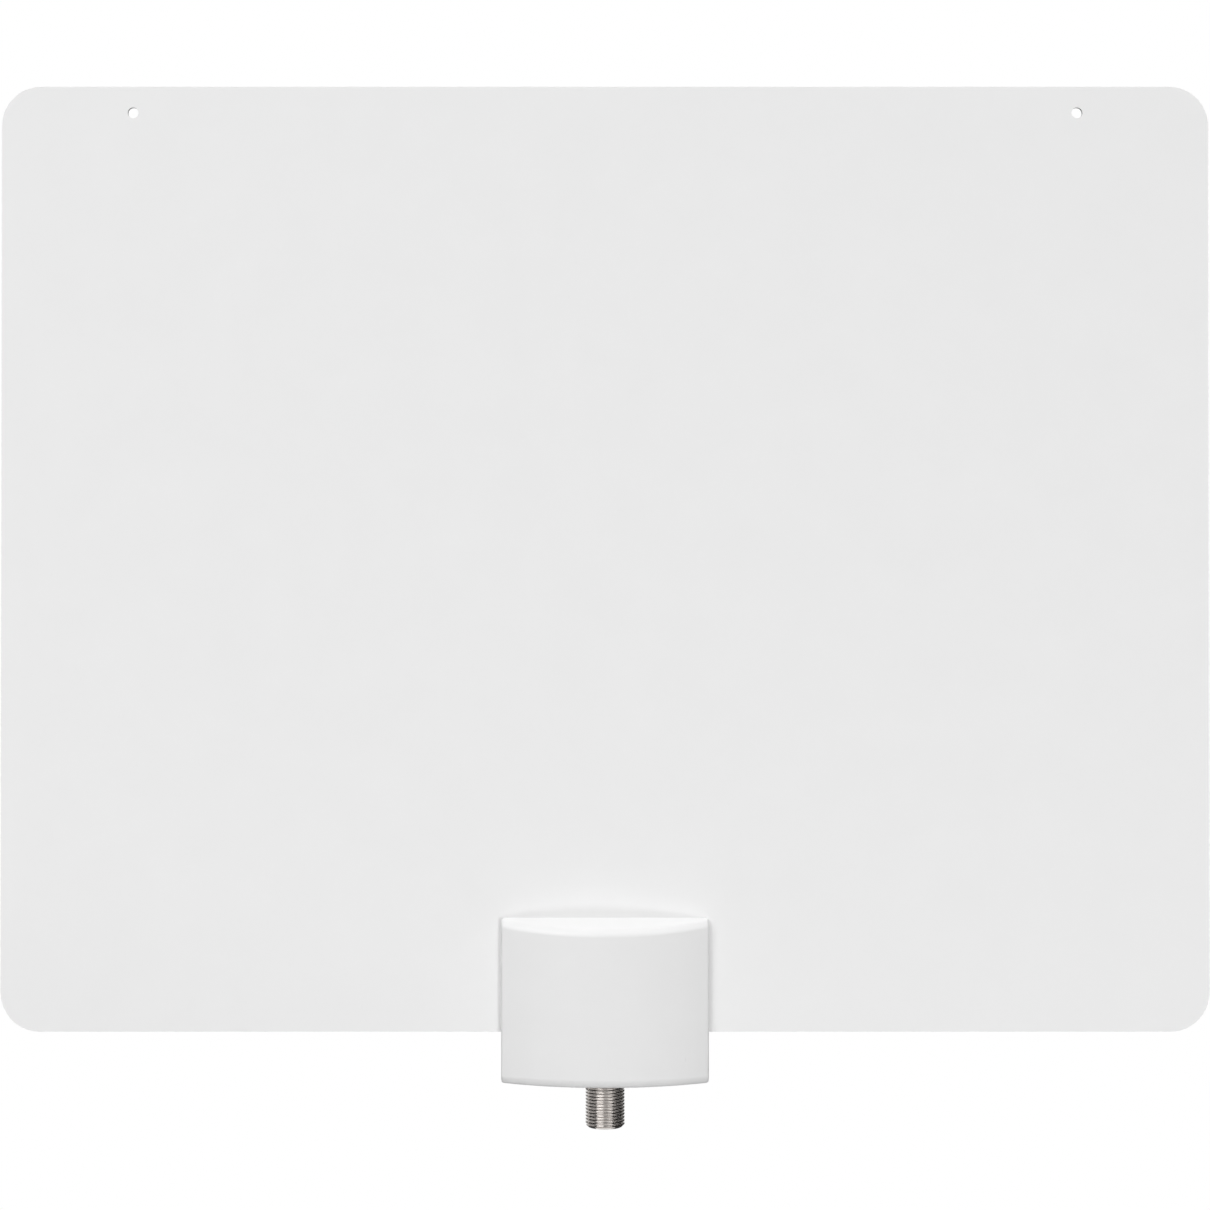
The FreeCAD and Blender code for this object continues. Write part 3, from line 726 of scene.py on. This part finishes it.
    def _thread_skin(self, finish: bpy.types.Material) -> bpy.types.Mesh:
        """Run the thread's tree and keep its result as a plain mesh.

        Args:
            finish: The material of the thread.

        Returns:
            The threaded skin, open at both ends.
        """
        length = self.neck_height - self.end_height
        tree = self._thread_tree()
        sizes = {
            "Crest Radius": self.crest_radius,
            "Root Radius": self.root_radius,
            "Pitch": self.pitch,
            "Length": length,
            "End Height": self.end_height,
            "End Radius": self.root_radius - self.end_bevel_mm * MM,
            "Neck Radius": self.root_radius,
            "Turns": math.ceil(length / self.pitch) + self.spare_turns,
            "Steps per Turn": self.steps_per_turn,
            "Columns": self.columns,
            "Finish": finish,
        }
        carrier = bpy.data.objects.new("thread_carrier", bpy.data.meshes.new("thread_carrier"))
        bpy.context.scene.collection.objects.link(carrier)
        modifier = carrier.modifiers.new("cut_thread", "NODES")
        modifier.node_group = tree
        for socket in tree.interface.items_tree:
            if socket.in_out == "INPUT":
                modifier[socket.identifier] = sizes[socket.name]
        evaluated = carrier.evaluated_get(bpy.context.evaluated_depsgraph_get())
        skin = bpy.data.meshes.new_from_object(evaluated)
        carrier.modifiers.remove(modifier)
        bpy.data.objects.remove(carrier)
        return skin

    def _close_barrel(self, mesh: bmesh.types.BMesh) -> None:
        """Turn the bore, the mouth lip and the neck, ring by ring, from one open end to the other.

        Args:
            mesh: The threaded skin, which gets the new faces.
        """
        rim = [vertex for vertex in mesh.verts if vertex.is_boundary]
        split = (self.end_height + self.neck_height) / 2
        lower = self._in_order(vertex for vertex in rim if vertex.co.z < split)
        upper = self._in_order(vertex for vertex in rim if vertex.co.z > split)
        lip_height = self.end_height + self.mouth_lip_mm * MM
        cut_height = self.neck_height + self.neck_cut_mm * MM
        stations = (
            (self.mouth_radius_mm * MM, self.end_height),
            (self.mouth_radius_mm * MM, lip_height),
            (self.bore_radius_mm * MM, lip_height),
            (self.bore_radius_mm * MM, cut_height),
            (self.neck_radius_mm * MM, cut_height),
            (self.neck_radius_mm * MM, self.neck_height),
        )
        rings = [lower]
        for radius, height in stations:
            ring = []
            for vertex in lower:
                outward = Vector((vertex.co.x, vertex.co.y)).normalized() * radius
                ring.append(mesh.verts.new((outward.x, outward.y, height)))
            rings.append(ring)
        rings.append(upper)
        for ring, following in zip(rings, rings[1:]):
            for index in range(len(ring)):
                beside = (index + 1) % len(ring)
                mesh.faces.new((ring[index], following[index], following[beside], ring[beside]))
        bmesh.ops.recalc_face_normals(mesh, faces=mesh.faces)

    def _in_order(self, vertices: Iterable[bmesh.types.BMVert]) -> list[bmesh.types.BMVert]:
        """Sort the points of a ring about the jack's axis by their angle."""
        return sorted(vertices, key=lambda vertex: math.atan2(vertex.co.y, vertex.co.x))

    def _collar(self) -> bpy.types.Mesh:
        """Keep the flange and the prongs of the frame's own shell, cut off and closed at the neck.

        Returns:
            The upper part of the shell, as a mesh of its own.
        """
        mesh = bmesh.new()
        mesh.from_mesh(self.nodes["connector_shell"].data)
        bmesh.ops.remove_doubles(mesh, verts=mesh.verts, dist=self.weld_mm * MM)
        cut = bmesh.ops.bisect_plane(
            mesh,
            geom=mesh.verts[:] + mesh.edges[:] + mesh.faces[:],
            plane_co=(0, 0, self.neck_height + self.neck_cut_mm * MM),
            plane_no=(0, 0, 1),
            clear_inner=True,
        )
        rims = [item for item in cut["geom_cut"] if isinstance(item, bmesh.types.BMEdge)]
        bmesh.ops.bridge_loops(mesh, edges=rims)
        bmesh.ops.recalc_face_normals(mesh, faces=mesh.faces)
        collar = bpy.data.meshes.new("jack_collar")
        mesh.to_mesh(collar)
        mesh.free()
        return collar


def towards(azimuth: float, elevation: float) -> Vector:
    """Point from the object towards a place around it.

    Args:
        azimuth: Degrees from the front, positive to the right.
        elevation: Degrees above the horizon.

    Returns:
        The direction, of length 1.
    """
    turn = math.radians(azimuth)
    rise = math.radians(elevation)
    return Vector((math.sin(turn) * math.cos(rise), -math.cos(turn) * math.cos(rise), math.sin(rise)))


@dataclass(frozen=True)
class Softbox:
    """A broad lamp, so far away that it lights the whole object evenly.

    Its angles are in degrees. One that isn't mirrored lights the object but leaves no highlight on it.
    """

    name: str
    strength: float
    elevation: float
    azimuth: float
    spread: float
    mirrored: bool = True

    def hang(self) -> None:
        """Hang the lamp on its side of the sky, facing the object."""
        lamp = bpy.data.lights.new(self.name, "SUN")
        lamp.energy = self.strength
        lamp.angle = math.radians(self.spread)
        softbox = bpy.data.objects.new(self.name, lamp)
        direction = towards(self.azimuth, self.elevation)
        softbox.rotation_euler = direction.to_track_quat("Z", "Y").to_euler()
        softbox.visible_glossy = self.mirrored
        bpy.context.scene.collection.objects.link(softbox)


class Side(Enum):
    """Which side of the jack a flag is on, as the sign of its azimuths."""

    LEFT = -1
    RIGHT = 1


@dataclass(frozen=True)
class Flag:
    """A dark cloth bent around a part of the jack, which only reflections show.

    The cut thread mirrors it in its grooves, so the metal stands out from the white surroundings. Its
    angles are in degrees, and those from its front edge to its back edge count towards its side.
    """

    name: str
    side: Side
    low: float
    high: float
    front: float
    back: float = 172.0
    reach: float = 0.6
    centre_height: float = -0.24
    folds: int = 16

    def hang(self, cloth: bpy.types.Material) -> None:
        """Hang the cloth at an even distance.

        Args:
            cloth: The material of the flag.
        """
        centre = Vector((0, 0, self.centre_height))
        corners = []
        for fold in range(self.folds + 1):
            azimuth = self.side.value * (self.front + (self.back - self.front) * fold / self.folds)
            for elevation in (self.low, self.high):
                corners.append(centre + self.reach * towards(azimuth, elevation))
        faces = [(2 * fold, 2 * fold + 1, 2 * fold + 3, 2 * fold + 2) for fold in range(self.folds)]
        mesh = bpy.data.meshes.new(self.name)
        mesh.from_pydata(corners, [], faces)
        mesh.materials.append(cloth)
        flag = bpy.data.objects.new(self.name, mesh)
        flag.visible_camera = False
        flag.visible_diffuse = False
        flag.visible_shadow = False
        bpy.context.scene.collection.objects.link(flag)


@dataclass
class Studio:
    """A pale floor, softboxes around the front, dark flags about the jack, and the camera.

    The floor is small enough that the low softbox shines past its edge. The small neck flag is painted
    shade: a dark card close to the jack, seen only in reflections, which darkens the uppermost grooves
    of the thread only, as the housing's shade would.
    """

    softboxes: tuple[Softbox, ...] = (
        Softbox("left_softbox", strength=1.63, elevation=22.0, azimuth=-33.0, spread=44.0),
        Softbox("right_softbox", strength=0.7, elevation=22.0, azimuth=36.0, spread=40.0),
        Softbox(
            "overhead_softbox", strength=1.58, elevation=82.0, azimuth=-10.0, spread=20.0, mirrored=False
        ),
        Softbox("low_softbox", strength=1.0, elevation=-30.0, azimuth=24.0, spread=16.0, mirrored=False),
    )
    flags: tuple[Flag, ...] = (
        Flag("left_upper_flag", Side.LEFT, low=14.0, high=75.0, front=62.0),
        Flag("left_lower_flag", Side.LEFT, low=-57.0, high=-15.0, front=62.0),
        Flag("right_upper_flag", Side.RIGHT, low=12.0, high=75.0, front=52.0),
        Flag("right_lower_flag", Side.RIGHT, low=-57.0, high=-15.0, front=52.0),
        Flag("right_edge_flag", Side.RIGHT, low=-15.0, high=1.0, front=72.0),
        # Painted shade: a dark card by the neck, seen only in reflections, darkens the uppermost grooves
        Flag(
            "neck_painted_shade_flag",
            Side.RIGHT,
            low=-40.0,
            high=-26.0,
            front=-62.0,
            back=52.0,
            reach=0.022,
            centre_height=-0.2346,
        ),
    )
    floor_height: float = -0.75
    floor_radius: float = 0.7
    floor_sides: int = 96
    floor_lift: float = 0.7
    surround_strength: float = 0.03
    backdrop_strength: float = 1.0
    camera_distance: float = 0.520
    camera_height: float = -0.1223
    aim_height: float = -0.1192
    frame_width: float = 0.29282
    sensor_width: float = 0.036
    clip_start: float = 0.01

    def build(self) -> None:
        """Set the floor, the light, the flags and the camera."""
        self._lay_floor()
        for softbox in self.softboxes:
            softbox.hang()
        cloth = BLACK_FILM.material()
        for flag in self.flags:
            flag.hang(cloth)
        self._surround()
        self._place_camera()
        bpy.context.scene.view_settings.view_transform = "Standard"

    def _lay_floor(self) -> None:
        """Lay a matte pale floor well below the sheet, lifted towards white where the eye sees it."""
        mesh = bmesh.new()
        bmesh.ops.create_circle(mesh, cap_ends=True, segments=self.floor_sides, radius=self.floor_radius)
        bmesh.ops.translate(mesh, verts=mesh.verts, vec=(0, 0, self.floor_height))
        floor_mesh = bpy.data.meshes.new("studio_floor")
        mesh.to_mesh(floor_mesh)
        mesh.free()
        floor = bpy.data.objects.new("studio_floor", floor_mesh)
        bpy.context.scene.collection.objects.link(floor)
        paint = FLOOR_PAINT.material()
        floor_mesh.materials.append(paint)
        shader = paint.node_tree.nodes["Principled BSDF"]
        shader.inputs["Emission Color"].default_value = STUDIO_WHITE
        lift = add_node(
            paint.node_tree,
            "ShaderNodeMath",
            {"operation": "MULTIPLY"},
            {0: shown_rays(paint.node_tree), 1: self.floor_lift},
        )
        paint.node_tree.links.new(lift.outputs[0], shader.inputs["Emission Strength"])

    def _surround(self) -> None:
        """Make the surroundings white to the eye and in reflections, and a low even light otherwise."""
        world = bpy.data.worlds.new("studio")
        bpy.context.scene.world = world
        world.use_nodes = True
        tree = world.node_tree
        tree.nodes.clear()
        ambient = add_node(tree, "ShaderNodeBackground", inputs={"Strength": self.surround_strength})
        white = add_node(tree, "ShaderNodeBackground", inputs={"Strength": self.backdrop_strength})
        for background in (ambient, white):
            background.inputs["Color"].default_value = STUDIO_WHITE
        both = add_node(tree, "ShaderNodeMixShader", inputs={0: shown_rays(tree), 1: ambient, 2: white})
        add_node(tree, "ShaderNodeOutputWorld", inputs={"Surface": both})

    def _place_camera(self) -> None:
        """Stand the camera square in front of the sheet, near the height of the object's middle."""
        lens = bpy.data.cameras.new("camera")
        lens.sensor_width = self.sensor_width / MM
        lens.lens = self.sensor_width / MM * self.camera_distance / self.frame_width
        lens.clip_start = self.clip_start
        camera = bpy.data.objects.new("camera", lens)
        camera.location = (0, -self.camera_distance, self.camera_height)
        view = Vector((0, 0, self.aim_height)) - camera.location
        camera.rotation_euler = view.to_track_quat("-Z", "Y").to_euler()
        bpy.context.scene.collection.objects.link(camera)
        bpy.context.scene.camera = camera


def thread_radius(record: dict[str, Any]) -> float:
    """Read the thread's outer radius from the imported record's mounts."""
    thread = next(mount for mount in record["mounts"] if mount["name"] == "coax_thread")
    return thread["dims"]["r_mm"] * MM


def main() -> None:
    """Load the frame, build and dress each sub-assembly, and set the studio around it."""
    logging.basicConfig(level=logging.INFO, format="%(name)s %(message)s")
    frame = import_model()
    nodes = frame["nodes"]
    LaminatedSheet(nodes).dress()
    ClampHousing(nodes).dress()
    MatchingBoard(nodes).dress()
    jack = CoaxialJack(nodes, thread_radius(frame["record"]))
    jack.build()
    jack.dress()
    Studio().build()


if __name__ == "__main__":
    main()
